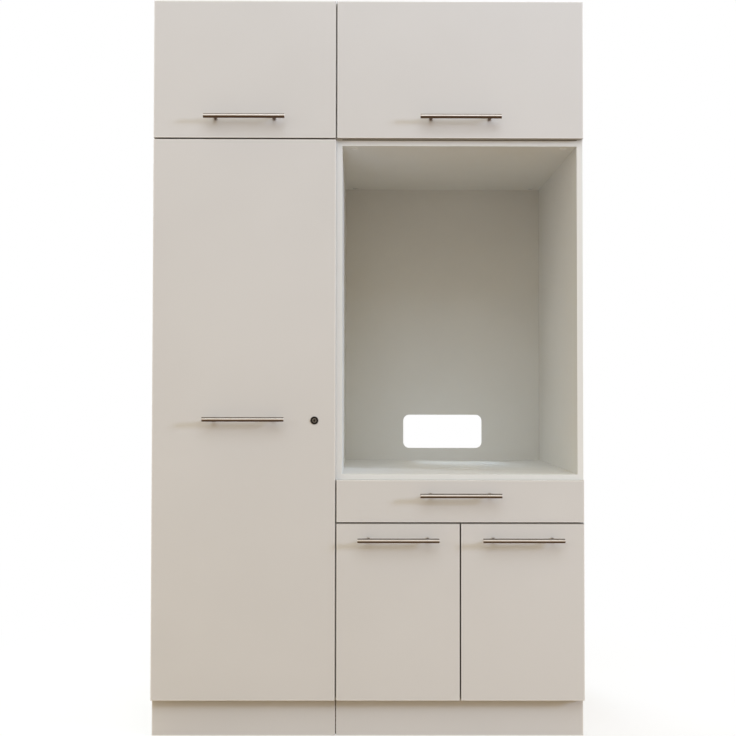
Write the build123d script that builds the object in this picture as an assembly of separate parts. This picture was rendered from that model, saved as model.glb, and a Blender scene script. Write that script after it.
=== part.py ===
"""Multipurpose cabinet of two joined columns, in millimetres.

A narrow tall cupboard stands beside a wide column with an appliance niche over a drawer and
two small doors. A flap unit lies on top of each column. +Z is up, the fronts face -Y, +X is
to the right, and the origin is the centre of the footprint on the floor.
"""

import math
import os

from build123d import *

os.makedirs("parts", exist_ok=True)

# Overall sizes of the carcasses
tall_width = 500.0
wide_width = 675.0
cabinet_height = 2004.0
upper_height = 378.0
carcass_depth = 657.0
plinth_height = 100.0
plinth_setback = 14.0
plinth_split = 2.3
niche_height = 899.0

# Boards
board = 16.0
back_board = 2.5
rebate_width = 8.0
rebate_depth = 3.0
drawer_rail_depth = 80.0
service_width = 260.0
service_height = 110.0
service_radius = 20.0
service_rise = 40.0

# Fronts
front_board = 16.0
front_edge_radius = 0.8
front_gap = 3.0
tier_gap = 4.4
buffer_gap = 2.0
drawer_front_height = 114.0
drawer_front_lap = 1.5

# Bar handles
handle_radius = 6.0
handle_length = 220.0
handle_chamfer = 0.6
handle_stand_off = 29.0
post_spacing = 160.0
post_radius = 4.5
post_foot_radius = 6.0
post_foot_height = 2.0
tall_handle_height = 861.0
door_handle_drop = 43.0
drawer_handle_drop = 40.0
flap_handle_rise = 53.0

# Shelves, their pins and the pin holes
shelf_setback = 20.0
shelf_side_play = 1.0
shelf_back_play = 4.0
tall_shelf_shares = (0.25, 0.5, 0.75)
door_shelf_share = 0.5
pin_radius = 2.5
pin_seat_play = 0.05
pin_hole_depth = 10.0
pin_stub = 8.0
pin_collar_radius = 3.5
pin_collar = 0.8
pin_pitch = 32.0
pin_copies = 1
pin_row_inset = 60.0

# Single-pivot cup hinges, measured from the hinged edge and the face of the front
hinge_inset = 6.0
hinge_setback = 5.8
hinge_pin_radius = 1.2
hinge_running = 0.05
knuckle_wall = 0.9
cup_radius = 17.5
cup_edge = 2.5
cup_depth = 13.2
cup_wall = 0.6
flange_lap = 0.5
flange_thick = 1.0
flange_length = 60.0
flange_width = 13.0
flange_shift = 6.0
ear_thick = 2.0
ear_margin = 2.4
ear_play = 0.4
arm_thick = 2.0
arm_width = 8.0
arm_bend_radius = 3.0
arm_neck = 24.0
arm_body_width = 11.0
arm_body_height = 7.0
arm_body_start = 22.0
arm_body_length = 58.0
arm_body_radius = 2.5
plate_height = 5.0
plate_thick = 2.0
plate_wing_length = 50.0
plate_wing_width = 14.0
plate_row = 37.0
tall_hinge_end = 100.0
tall_hinge_share = 0.42
door_hinge_end = 92.0
flap_hinge_end = 92.0

# Cam lock of the tall door
lock_height = 858.0
lock_edge = 57.0
lock_face_radius = 10.5
lock_face = 1.5
lock_body_radius = 9.4
lock_body_play = 0.1
lock_body_rear = 8.0
lock_nut_width = 24.0
lock_nut = 3.0
lock_plug_radius = 6.0
lock_running = 0.05
lock_plug_proud = 0.4
lock_key_slot = (1.4, 7.0)
lock_key_depth = 3.0
cam_play = 0.4
cam_thick = 2.5
cam_width = 14.0
cam_reach = 38.0
keeper_thick = 2.0
keeper_lap = 14.5
keeper_leg = 15.0
keeper_height = 24.0
keeper_play = 1.2

# Drawer and its telescopic runners
drawer_depth = 550.0
drawer_side = 12.0
drawer_box_height = 80.0
drawer_box_drop = 17.0
drawer_base = 3.0
drawer_groove = 5.0
drawer_groove_rise = 8.0
drawer_groove_play = 0.2
runner_space = 13.0
runner_length = 500.0
runner_height = 42.0
runner_sheet = 1.2
runner_gap = 0.5
runner_setback = 2.0

# Gas struts of the flaps
strut_lever = 50.0
strut_setback = 26.0
strut_foot_depth = 152.0
strut_foot_drop = 150.0
strut_tube_radius = 7.5
strut_tube_length = 115.0
strut_rod_radius = 3.0
strut_rod_reach = 155.0
strut_running = 0.05
strut_floor = 3.0
strut_neck = 4.0
strut_eye_radius = 6.5
strut_eye_width = 8.0
strut_eye_offset = 6.0
strut_stud_radius = 3.0
strut_stud_play = 0.4
strut_plate = 2.0
strut_plate_radius = 10.0
strut_ear_play = 3.0
strut_ear_margin = 4.0
strut_foot_width = 22.0

# Small fittings
cap_radius = 9.0
cap_thick = 1.0
cap_inset = 32.0
cap_depth = 31.0
buffer_radius = 4.0
buffer_play = 0.3
buffer_end = 45.0
connector_radius = 4.0
connector_play = 0.05
connector_head_radius = 7.0
connector_head = 2.0
connector_inset = 100.0
connector_share = 0.5
bracket_leg = 40.0
bracket_width = 30.0
bracket_thick = 2.0
bracket_hole_radius = 3.0
bracket_hole_drop = 22.0

overrun = 2.0
quarter = 90.0

# Planes that the boards share
x_left = -(tall_width + wide_width) / 2
x_joint = x_left + tall_width
x_right = x_joint + wide_width
handle_reach = handle_stand_off + handle_radius
y_front = -(handle_reach + front_board + buffer_gap + carcass_depth) / 2 + handle_reach
y_front_back = y_front + front_board
y_carcass = y_front_back + buffer_gap
y_rear = y_carcass + carcass_depth
y_back = y_rear - rebate_depth
y_plinth = y_carcass + plinth_setback
z_tier = cabinet_height - upper_height
z_deck = plinth_height + board
z_niche_top = z_tier - board
z_niche_floor = z_niche_top - niche_height
z_drawer_top = z_niche_floor - board + drawer_front_lap
z_drawer_bottom = z_drawer_top - drawer_front_height
z_door_top = z_drawer_bottom - front_gap
z_door_bottom = plinth_height + front_gap
z_rail = (z_door_top + z_drawer_bottom - board) / 2
z_tall_top = z_tier - tier_gap / 2
z_flap_bottom = z_tier + tier_gap / 2
tall_inside = (x_left + board, x_joint - board)
wide_inside = (x_joint + board, x_right - board)
corner = (Align.MIN, Align.MIN, Align.MIN)


def middle(span):
    """The middle of a span."""
    return (span[0] + span[1]) / 2


def slab(xs, ys, zs):
    """A board between two planes along each axis."""
    box = Box(abs(xs[1] - xs[0]), ys[1] - ys[0], zs[1] - zs[0], align=corner)
    return Pos(min(xs), ys[0], zs[0]) * box


def round_x(xs, y, z, radius):
    """A round bar along X between two planes."""
    return Pos(middle(xs), y, z) * Rot(0, quarter, 0) * Cylinder(radius, abs(xs[1] - xs[0]))


def round_y(x, ys, z, radius):
    """A round bar along Y between two planes."""
    return Pos(x, middle(ys), z) * Rot(quarter, 0, 0) * Cylinder(radius, ys[1] - ys[0])


def save(name, *pieces):
    """Write one node: a single solid, or a group of separate ones."""
    solids = [solid for piece in pieces for solid in piece.solids()]
    shape = solids[0] if len(solids) == 1 else Compound(children=solids)
    export_step(shape, f"parts/{name}.step")


# Carcass boards


def pin_rows():
    """The two lines of shelf-pin holes, near the front and the back of a side board."""
    return (y_carcass + shelf_setback + pin_row_inset, y_back - shelf_back_play - pin_row_inset)


def pin_height(shelf_bottom):
    """The pin's axis lies its own radius under the shelf."""
    return shelf_bottom - pin_radius + pin_seat_play


def side_board(x_inner, inward, bottom, top, shelf_bottoms=(), crossings=()):
    """A side board with a rebate for the back, pin holes and, on the floor, a plinth notch.

    inward is 1 where the inside of the cabinet lies at +X of the board, and -1 where at -X.
    """
    x_outer = x_inner - inward * board
    piece = slab((x_inner, x_outer), (y_carcass, y_rear), (bottom, top))
    x_rebate = x_inner - inward * rebate_width
    x_past = x_inner + inward * overrun
    height = (bottom - overrun, top + overrun)
    piece -= slab((x_rebate, x_past), (y_back, y_rear + overrun), height)
    if bottom == 0:
        notch_x = (x_outer - inward * overrun, x_past)
        notch_y = (y_carcass - overrun, y_plinth + board)
        piece -= slab(notch_x, notch_y, (-overrun, plinth_height))
    hole_x = (x_inner - inward * pin_hole_depth, x_past)
    for shelf_bottom in shelf_bottoms:
        for y in pin_rows():
            for step in range(-pin_copies, pin_copies + 1):
                z = pin_height(shelf_bottom) + step * pin_pitch
                piece -= round_x(hole_x, y, z, pin_radius)
    for y, z in crossings:
        through = (x_outer - inward * overrun, x_past)
        piece -= round_x(through, y, z, connector_radius + connector_play)
    return piece


def deck(inside, bottom):
    """A full-depth board between two side boards."""
    return slab(inside, (y_carcass, y_back), (bottom, bottom + board))


def back_panel(inside, bottom, top):
    """A thin back in the rebates of its two side boards, a little below their rear edges."""
    xs = (inside[0] - rebate_width, inside[1] + rebate_width)
    return slab(xs, (y_back, y_back + back_board), (bottom, top))


def shelf(inside, bottom):
    """A loose shelf with play at its sides and back."""
    xs = (inside[0] + shelf_side_play, inside[1] - shelf_side_play)
    return slab(xs, (y_carcass + shelf_setback, y_back - shelf_back_play), (bottom, bottom + board))


def shelf_pin(x_face, inward, y, z):
    """A pin in its hole, with a collar against the side board and a stub under the shelf."""
    radius = pin_radius - pin_seat_play
    shank = (x_face - inward * (pin_hole_depth - pin_collar), x_face + inward * pin_stub)
    collar = (x_face, x_face + inward * pin_collar)
    return round_x(shank, y, z, radius) + round_x(collar, y, z, pin_collar_radius)


tall_shelf_bottoms = []
for share in tall_shelf_shares:
    tall_shelf_bottoms.append(z_deck + share * (z_niche_top - z_deck - board))
tall_fixed_bottom = tall_shelf_bottoms.pop(len(tall_shelf_bottoms) // 2)
door_shelf_bottom = z_deck + door_shelf_share * (z_rail - z_deck - board)

connector_rows = (y_carcass + connector_inset, y_back - connector_inset)
z_lower_connector = z_deck + connector_share * (door_shelf_bottom - z_deck)
z_upper_connector = z_tier + connector_share * upper_height
lower_crossings = [(y, z_lower_connector) for y in connector_rows]
upper_crossings = [(y, z_upper_connector) for y in connector_rows]

save("tall_side_left", side_board(tall_inside[0], 1, 0, z_tier, tall_shelf_bottoms))
save("tall_side_right",
     side_board(tall_inside[1], -1, 0, z_tier, tall_shelf_bottoms, lower_crossings))
save("wide_side_left",
     side_board(wide_inside[0], 1, 0, z_tier, [door_shelf_bottom], lower_crossings))
save("wide_side_right", side_board(wide_inside[1], -1, 0, z_tier, [door_shelf_bottom]))

save("tall_bottom", deck(tall_inside, plinth_height))
save("tall_top", deck(tall_inside, z_niche_top))
save("tall_fixed_shelf",
     slab(tall_inside, (y_carcass + shelf_setback, y_back),
          (tall_fixed_bottom, tall_fixed_bottom + board)))
save("wide_bottom", deck(wide_inside, plinth_height))
save("niche_floor", deck(wide_inside, z_niche_floor - board))
save("niche_ceiling", deck(wide_inside, z_niche_top))
save("drawer_rail",
     slab(wide_inside, (y_carcass, y_carcass + drawer_rail_depth), (z_rail, z_rail + board)))

z_back_split = tall_fixed_bottom + board / 2
save("tall_backs",
     back_panel(tall_inside, plinth_height, z_back_split),
     back_panel(tall_inside, z_back_split, z_tier))
z_niche_split = z_niche_floor - board / 2
save("wide_lower_back", back_panel(wide_inside, plinth_height, z_niche_split))
service_z = z_niche_floor + service_rise + service_height / 2
service_profile = RectangleRounded(service_width, service_height, service_radius)
service_cut = extrude(service_profile, amount=back_board + overrun, both=True)
service_cut = Pos(middle(wide_inside), y_rear, service_z) * Rot(quarter, 0, 0) * service_cut
save("niche_back", back_panel(wide_inside, z_niche_split, z_tier) - service_cut)

save("adjustable_shelves",
     *[shelf(tall_inside, bottom) for bottom in tall_shelf_bottoms],
     shelf(wide_inside, door_shelf_bottom))
shelf_pins = []
for inside, bottoms in ((tall_inside, tall_shelf_bottoms), (wide_inside, [door_shelf_bottom])):
    for bottom in bottoms:
        for y in pin_rows():
            for x_face, inward in ((inside[0], 1), (inside[1], -1)):
                shelf_pins.append(shelf_pin(x_face, inward, y, pin_height(bottom)))
save("shelf_pins", *shelf_pins)

plinth_spans = ((x_left, x_joint - plinth_split / 2), (x_joint + plinth_split / 2, x_right))
save("plinth_boards",
     *[slab(xs, (y_plinth, y_plinth + board), (0, plinth_height)) for xs in plinth_spans])

# Flap units on top of the columns


def wall_hole(x):
    """The hole of the wall screw through the bracket and the back."""
    ys = (y_back - bracket_thick - overrun, y_rear + overrun)
    return round_y(x, ys, cabinet_height - board - bracket_hole_drop, bracket_hole_radius)


upper_sides = []
upper_bottoms = []
upper_tops = []
upper_backs = []
for inside in (tall_inside, wide_inside):
    is_left = inside is tall_inside
    left_crossings = () if is_left else upper_crossings
    right_crossings = upper_crossings if is_left else ()
    upper_sides += [
        side_board(inside[0], 1, z_tier, cabinet_height, (), left_crossings),
        side_board(inside[1], -1, z_tier, cabinet_height, (), right_crossings)]
    upper_bottoms.append(deck(inside, z_tier))
    upper_tops.append(deck(inside, cabinet_height - board))
    back = back_panel(inside, z_tier, cabinet_height)
    upper_backs.append(back - wall_hole(middle(inside)))
save("upper_sides", *upper_sides)
save("upper_bottoms", *upper_bottoms)
save("upper_tops", *upper_tops)
save("upper_backs", *upper_backs)

# Cup hinges, in their own frame: X runs into the front from its hinged edge, Y from its face
# to the rear, and Z along the pin

cup_centre = cup_edge + cup_radius
knuckle_radius = hinge_pin_radius + hinge_running + knuckle_wall
cup_bottom = front_board - cup_depth
ear_inner = arm_width / 2 + ear_play
ear_outer = ear_inner + ear_thick


def hinge_cup():
    """The pressed cup with its flange and two ears, and the pin through the ears."""
    outside = round_y(cup_centre, (cup_bottom, front_board), 0, cup_radius)
    flange_y = (front_board, front_board + flange_thick)
    rim = round_y(cup_centre, flange_y, 0, cup_radius + flange_lap)
    wings = extrude(SlotOverall(flange_length, flange_width), amount=flange_thick)
    wings = Rot(0, quarter, 0) * Rot(quarter, 0, 0) * wings
    wings = Pos(cup_centre + flange_shift, flange_y[1], 0) * wings
    hollow_y = (cup_bottom + cup_wall, flange_y[1] + overrun)
    cup = outside + rim + wings - round_y(cup_centre, hollow_y, 0, cup_radius - cup_wall)
    ear_x = (0, hinge_inset + ear_margin)
    ear_y = (cup_bottom, hinge_setback + ear_margin)
    ears = slab(ear_x, ear_y, (-ear_outer, ear_outer)) - slab(
        (-overrun, hinge_inset + ear_margin + overrun),
        (cup_bottom + cup_wall, hinge_setback + ear_margin + overrun),
        (-ear_inner, ear_inner))
    cup += ears & outside
    bore = Cylinder(hinge_pin_radius + hinge_running, ear_outer + ear_outer)
    cup -= Pos(hinge_inset, hinge_setback, 0) * bore
    pin = Pos(hinge_inset, hinge_setback, 0) * Cylinder(hinge_pin_radius, ear_outer + ear_outer)
    return cup, pin


def hinge_arm(overlay):
    """The arm: a knuckle on the pin, a bent neck out of the cup and a body on the plate."""
    body_x = (overlay + plate_height, overlay + plate_height + arm_body_height)
    path = FilletPolyline(
        (hinge_inset, hinge_setback),
        (arm_neck, hinge_setback),
        (arm_neck, arm_body_start + arm_thick),
        radius=arm_bend_radius)
    neck = extrude(trace(path, line_width=arm_thick), amount=arm_width / 2, both=True)
    knuckle = Pos(hinge_inset, hinge_setback, 0) * Cylinder(knuckle_radius, arm_width)
    body = slab(body_x, (arm_body_start, arm_body_start + arm_body_length),
                (-arm_body_width / 2, arm_body_width / 2))
    body = fillet(body.edges().filter_by(Axis.Z).sort_by(Axis.X)[-2:], arm_body_radius)
    bore = Pos(hinge_inset, hinge_setback, 0) * Cylinder(hinge_pin_radius + hinge_running, arm_width)
    return neck + knuckle + body - bore


def hinge_plate(overlay):
    """The mounting plate: a cross wing on the board and a rib that carries the arm."""
    wing = extrude(SlotOverall(plate_wing_length, plate_wing_width), amount=plate_thick)
    wing_y = front_board + buffer_gap + plate_row
    wing = Pos(overlay, wing_y, 0) * Rot(0, quarter, 0) * wing
    rib_y = (arm_body_start + arm_body_height, arm_body_start + arm_body_length)
    rib_z = (-arm_body_width / 2, arm_body_width / 2)
    return wing + slab((overlay, overlay + plate_height), rib_y, rib_z)


side_overlay = board - front_gap / 2
top_overlay = board


class Front:
    """A front board with its outline, the side it is hinged on and the seats of its hinges."""

    def __init__(self, xs, zs, hinged, seats=()):
        self.xs = xs
        self.zs = zs
        self.hinged = hinged
        self.seats = seats

    def board(self):
        """The board with its face edges rounded and a pocket for each cup."""
        piece = slab(self.xs, (y_front, y_front_back), self.zs)
        edges = piece.faces().sort_by(Axis.Y)[0].edges()
        piece = fillet(edges, front_edge_radius)
        pocket = round_y(cup_centre, (cup_bottom, front_board + overrun), 0, cup_radius)
        return piece - self.fitted(pocket) if self.seats else piece

    def fitted(self, fitting):
        """Copies of a fitting at this front's hinges."""
        copies = []
        for seat in self.seats:
            if self.hinged == "left":
                copies.append(Pos(self.xs[0], y_front, seat) * fitting)
            elif self.hinged == "right":
                copies.append(Pos(self.xs[1], y_front, seat) * mirror(fitting, Plane.YZ))
            else:
                copies.append(Pos(seat, y_front, self.zs[1]) * Rot(0, quarter, 0) * fitting)
        return copies


def column_span(left, right):
    """A front's width over a column, half a gap inside it at each side."""
    return (left + front_gap / 2, right - front_gap / 2)


def seats_between(span, end):
    """Two hinge seats, each at the same distance from its end of the edge."""
    return (span[0] + end, span[1] - end)


tall_z = (z_door_bottom, z_tall_top)
tall_seats = (*seats_between(tall_z, tall_hinge_end),
              tall_z[0] + tall_hinge_share * (tall_z[1] - tall_z[0]))
tall_door = Front(column_span(x_left, x_joint), tall_z, "left", tall_seats)
x_meet = (x_joint + x_right) / 2
door_z = (z_door_bottom, z_door_top)
door_seats = seats_between(door_z, door_hinge_end)
left_door = Front(column_span(x_joint, x_meet), door_z, "left", door_seats)
right_door = Front(column_span(x_meet, x_right), door_z, "right", door_seats)
flap_z = (z_flap_bottom, cabinet_height)
left_span = column_span(x_left, x_joint)
right_span = column_span(x_joint, x_right)
left_flap = Front(left_span, flap_z, "top", seats_between(left_span, flap_hinge_end))
right_flap = Front(right_span, flap_z, "top", seats_between(right_span, flap_hinge_end))
drawer_front = Front(right_span, (z_drawer_bottom, z_drawer_top), "none")

cup_pieces = hinge_cup()
side_arm = hinge_arm(side_overlay)
side_plate = hinge_plate(side_overlay)
top_arm = hinge_arm(top_overlay)
top_plate = hinge_plate(top_overlay)
hinge_arms = []
hinge_plates = []
for front in (tall_door, left_door, right_door):
    hinge_arms += front.fitted(side_arm)
    hinge_plates += front.fitted(side_plate)
for front in (left_flap, right_flap):
    hinge_arms += front.fitted(top_arm)
    hinge_plates += front.fitted(top_plate)
save("hinge_arms", *hinge_arms)
save("hinge_plates", *hinge_plates)


def hinge_cups(front):
    """The cups and pins that stay on a front."""
    return [copy for piece in cup_pieces for copy in front.fitted(piece)]


# Handles


def bar_handle(front, z):
    """A round bar on two posts whose ends are coped to the bar."""
    x = middle(front.xs)
    y_bar = y_front - handle_stand_off
    bar = round_x((x - handle_length / 2, x + handle_length / 2), y_bar, z, handle_radius)
    posts = []
    for side in (-1, 1):
        x_post = x + side * post_spacing / 2
        post = round_y(x_post, (y_bar, y_front), z, post_radius)
        post += round_y(x_post, (y_front - post_foot_height, y_front), z, post_foot_radius)
        posts.append(post - bar)
    bar = chamfer(bar.faces().filter_by(GeomType.PLANE).edges(), handle_chamfer)
    return bar, *posts


save("left_door", left_door.board())
save("left_door_handle", *bar_handle(left_door, z_door_top - door_handle_drop))
save("left_door_hinge_cups", *hinge_cups(left_door))
save("right_door", right_door.board())
save("right_door_handle", *bar_handle(right_door, z_door_top - door_handle_drop))
save("right_door_hinge_cups", *hinge_cups(right_door))
save("tall_door_handle", *bar_handle(tall_door, tall_handle_height))
save("tall_door_hinge_cups", *hinge_cups(tall_door))
save("drawer_handle", *bar_handle(drawer_front, z_drawer_top - drawer_handle_drop))
save("left_flap_handle", *bar_handle(left_flap, z_flap_bottom + flap_handle_rise))
save("right_flap_handle", *bar_handle(right_flap, z_flap_bottom + flap_handle_rise))

# Cam lock: the plug and its cam turn in the housing, and the cam goes behind the keeper

x_lock = tall_door.xs[1] - lock_edge
y_lock_rear = y_front_back + lock_body_rear
y_cam = y_lock_rear + cam_play
lock_bore = round_y(x_lock, (y_front - overrun, y_front_back + overrun), lock_height,
                    lock_body_radius + lock_body_play)
save("tall_door", tall_door.board() - lock_bore)
housing = round_y(x_lock, (y_front, y_lock_rear), lock_height, lock_body_radius)
housing += round_y(x_lock, (y_front - lock_face, y_front), lock_height, lock_face_radius)
housing -= round_y(x_lock, (y_front - lock_face - overrun, y_lock_rear + overrun), lock_height,
                   lock_plug_radius + lock_running)
save("lock_housing", housing)
nut_radius = lock_nut_width / math.sqrt(3)
nut = extrude(RegularPolygon(nut_radius, 6), amount=lock_nut)
nut = Pos(x_lock, y_front_back + lock_nut, lock_height) * Rot(quarter, 0, 0) * nut
save("lock_nut", nut - lock_bore.moved(Pos(0, front_board, 0)))
y_plug = y_front - lock_face - lock_plug_proud
plug = round_y(x_lock, (y_plug, y_cam), lock_height, lock_plug_radius)
key_slot = slab((x_lock - lock_key_slot[0] / 2, x_lock + lock_key_slot[0] / 2),
                (y_plug - overrun, y_plug + lock_key_depth),
                (lock_height - lock_key_slot[1] / 2, lock_height + lock_key_slot[1] / 2))
save("lock_plug", plug - key_slot)
cam_sketch = Circle(cam_width / 2) + Pos(cam_reach / 2, 0) * Rectangle(cam_reach, cam_width)
cam = Rot(quarter, 0, 0) * Rot(0, 0, -quarter) * extrude(cam_sketch, amount=-cam_thick)
save("lock_cam", Pos(x_lock, y_cam, lock_height) * cam)
x_keeper = tall_inside[1]
y_keeper = y_cam - keeper_play - keeper_thick
keeper_z = (lock_height - keeper_height / 2, lock_height + keeper_height / 2)
save("lock_keeper",
     slab((x_keeper - keeper_thick, x_keeper), (y_keeper, y_keeper + keeper_leg), keeper_z)
     + slab((x_keeper - keeper_lap, x_keeper), (y_keeper, y_keeper + keeper_thick), keeper_z))

# Drawer box

drawer_xs = (wide_inside[0] + runner_space, wide_inside[1] - runner_space)
drawer_ys = (y_front_back, y_front_back + drawer_depth)
drawer_zs = (z_niche_floor - board - drawer_box_drop - drawer_box_height,
             z_niche_floor - board - drawer_box_drop)
z_base = drawer_zs[0] + drawer_groove_rise
base_x = (drawer_xs[0] + drawer_side - drawer_groove, drawer_xs[1] - drawer_side + drawer_groove)
groove = slab(base_x, (drawer_ys[0] - overrun, drawer_ys[1] + overrun),
              (z_base, z_base + drawer_base))
save("drawer_front", drawer_front.board())
save("drawer_sides",
     slab((drawer_xs[0], drawer_xs[0] + drawer_side), drawer_ys, drawer_zs) - groove,
     slab((drawer_xs[1] - drawer_side, drawer_xs[1]), drawer_ys, drawer_zs) - groove)
save("drawer_back",
     slab((drawer_xs[0] + drawer_side, drawer_xs[1] - drawer_side),
          (drawer_ys[1] - drawer_side, drawer_ys[1]), (z_base + drawer_base, drawer_zs[1])))
save("drawer_base",
     slab((base_x[0] + drawer_groove_play, base_x[1] - drawer_groove_play), drawer_ys,
          (z_base, z_base + drawer_base)))


# Telescopic runners: a channel on the side board, a middle channel and a rail on the drawer


def channel(x_web, facing, depth, height):
    """A C-shaped runner member whose web stands at x_web and whose lips point to facing."""
    y_start = y_carcass + runner_setback
    ys = (y_start, y_start + runner_length)
    z = middle(drawer_zs)
    outer = slab((x_web, x_web + facing * depth), ys, (z - height / 2, z + height / 2))
    inner_height = height - runner_sheet - runner_sheet
    hollow_x = (x_web + facing * runner_sheet, x_web + facing * (depth + overrun))
    hollow_y = (ys[0] - overrun, ys[1] + overrun)
    return outer - slab(hollow_x, hollow_y, (z - inner_height / 2, z + inner_height / 2))


runner_step = runner_sheet + runner_gap
runner_lip = runner_space - runner_step
middle_lip = runner_lip - runner_step
rail_lip = middle_lip - runner_gap
nested = 2 * runner_step
save("runner_channels",
     channel(wide_inside[0], 1, runner_lip, runner_height),
     channel(wide_inside[1], -1, runner_lip, runner_height))
save("runner_middles",
     channel(wide_inside[0] + runner_step, 1, middle_lip, runner_height - nested),
     channel(wide_inside[1] - runner_step, -1, middle_lip, runner_height - nested))
save("runner_rails",
     channel(drawer_xs[0], -1, rail_lip, runner_height - 2 * nested),
     channel(drawer_xs[1], 1, rail_lip, runner_height - 2 * nested))

# Gas struts: the rod swivels on the flap's stud and slides in the tube

z_hinge = cabinet_height - hinge_inset
y_hinge = y_front + hinge_setback
strut_top = (y_front + strut_setback, z_hinge - strut_lever)
strut_foot = (y_carcass + strut_foot_depth, z_hinge - strut_foot_drop)
strut_length = math.dist(strut_top, strut_foot)
strut_slope = math.degrees(math.atan2(strut_foot[1] - strut_top[1], strut_foot[0] - strut_top[0]))


def on_strut(piece, x):
    """Lay a piece that was made along +Y from the flap's stud onto the strut's line."""
    return Pos(x, strut_top[0], strut_top[1]) * Rot(strut_slope, 0, 0) * piece


def strut_pair(inside, make):
    """The same piece at both side boards of a flap unit."""
    return [make(inside[0], 1), make(inside[1], -1)]


def strut_eye_centre(x_face, inward):
    """The strut's line runs beside its side board."""
    return x_face + inward * (strut_eye_offset + strut_eye_width / 2)


def strut_rod(x_face, inward):
    """The rod with the eye that turns on the flap's stud."""
    half = strut_eye_width / 2
    rod = round_y(0, (0, strut_rod_reach), 0, strut_rod_radius)
    rod += round_x((-half, half), 0, 0, strut_eye_radius)
    rod -= round_x((-half - overrun, half + overrun), 0, 0, strut_stud_radius + strut_running)
    return on_strut(rod, strut_eye_centre(x_face, inward))


def strut_tube(x_face, inward):
    """The tube, bored for the rod, with the eye at its foot."""
    half = strut_eye_width / 2
    tube_end = strut_length - strut_eye_radius - strut_neck
    tube_start = tube_end - strut_tube_length
    tube = round_y(0, (tube_start, tube_end), 0, strut_tube_radius)
    tube -= round_y(0, (tube_start - overrun, tube_end - strut_floor), 0,
                    strut_rod_radius + strut_running)
    eye = round_y(0, (tube_end, strut_length), 0, strut_rod_radius)
    eye += round_x((-half, half), strut_length, 0, strut_eye_radius)
    return on_strut(tube + eye, strut_eye_centre(x_face, inward))


def strut_foot_bracket(x_face, inward):
    """A round plate on the side board with a short stud beside the tube's eye."""
    plate_x = (x_face, x_face + inward * strut_plate)
    stud_x = (x_face, x_face + inward * (strut_eye_offset - strut_stud_play))
    plate = round_x(plate_x, strut_foot[0], strut_foot[1], strut_plate_radius)
    return plate + round_x(stud_x, strut_foot[0], strut_foot[1], strut_stud_radius)


def strut_flap_bracket(x_face, inward):
    """An angle on the back of the flap with the stud through the rod's eye."""
    x_ear = x_face + inward * (strut_eye_offset + strut_eye_width + strut_ear_play)
    ear_x = (x_ear, x_ear + inward * strut_plate)
    ys = (y_front_back, strut_top[0] + strut_ear_margin)
    half = strut_foot_width / 2
    ear = slab(ear_x, ys, (strut_top[1] - half, strut_top[1] + half))
    foot_x = (x_ear, x_ear + inward * strut_foot_width)
    ear += slab(foot_x, (y_front_back, y_front_back + strut_plate),
                (strut_top[1] - half, strut_top[1] + half))
    stud_x = (x_face + inward * (strut_eye_offset - strut_stud_play), x_ear)
    return ear + round_x(stud_x, strut_top[0], strut_top[1], strut_stud_radius)


flaps = (("left", left_flap, tall_inside), ("right", right_flap, wide_inside))
foot_brackets = []
for name, flap, inside in flaps:
    save(f"{name}_flap", flap.board())
    save(f"{name}_flap_fittings", *hinge_cups(flap), *strut_pair(inside, strut_flap_bracket))
    save(f"{name}_strut_rods", *strut_pair(inside, strut_rod))
    save(f"{name}_strut_tubes", *strut_pair(inside, strut_tube))
    foot_brackets += strut_pair(inside, strut_foot_bracket)
save("strut_foot_brackets", *foot_brackets)

# Small fittings on the carcass

caps = []
y_shelf_front = y_carcass + shelf_setback
capped_boards = ((wide_inside, z_niche_top, y_carcass), (tall_inside, tall_fixed_bottom, y_shelf_front))
for inside, underside, y_edge in capped_boards:
    for x in (inside[0] + cap_inset, inside[1] - cap_inset):
        for y in (y_edge + cap_depth, y_back - cap_depth):
            caps.append(Pos(x, y, underside - cap_thick / 2) * Cylinder(cap_radius, cap_thick))
save("cam_caps", *caps)

z_rail_lap = (z_rail + z_door_top) / 2
buffer_seats = [
    (x_joint - board / 2, z_deck + buffer_end),
    (x_joint - board / 2, z_tall_top - buffer_end),
    (x_meet - buffer_end, z_rail_lap),
    (x_meet + buffer_end, z_rail_lap),
    (x_joint + board / 2, middle(drawer_zs)),
    (x_right - board / 2, middle(drawer_zs))]
for x_outer in (x_left + board / 2, x_joint - board / 2, x_joint + board / 2, x_right - board / 2):
    buffer_seats.append((x_outer, z_flap_bottom + buffer_end))
y_buffer = y_front_back + buffer_play
save("door_buffers",
     *[round_y(x, (y_buffer, y_carcass), z, buffer_radius) for x, z in buffer_seats])

connectors = []
faces = (tall_inside[1], wide_inside[0])
for y, z in (*lower_crossings, *upper_crossings):
    connector = round_x(faces, y, z, connector_radius)
    connector += round_x((faces[0] - connector_head, faces[0]), y, z, connector_head_radius)
    connector += round_x((faces[1], faces[1] + connector_head), y, z, connector_head_radius)
    connectors.append(connector)
save("unit_connectors", *connectors)

brackets = []
for inside in (tall_inside, wide_inside):
    xs = (middle(inside) - bracket_width / 2, middle(inside) + bracket_width / 2)
    z_under = cabinet_height - board
    bracket = slab(xs, (y_back - bracket_leg, y_back), (z_under - bracket_thick, z_under))
    bracket += slab(xs, (y_back - bracket_thick, y_back), (z_under - bracket_leg, z_under))
    brackets.append(bracket - wall_hole(middle(inside)))
save("wall_brackets", *brackets)
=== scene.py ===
import math

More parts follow.
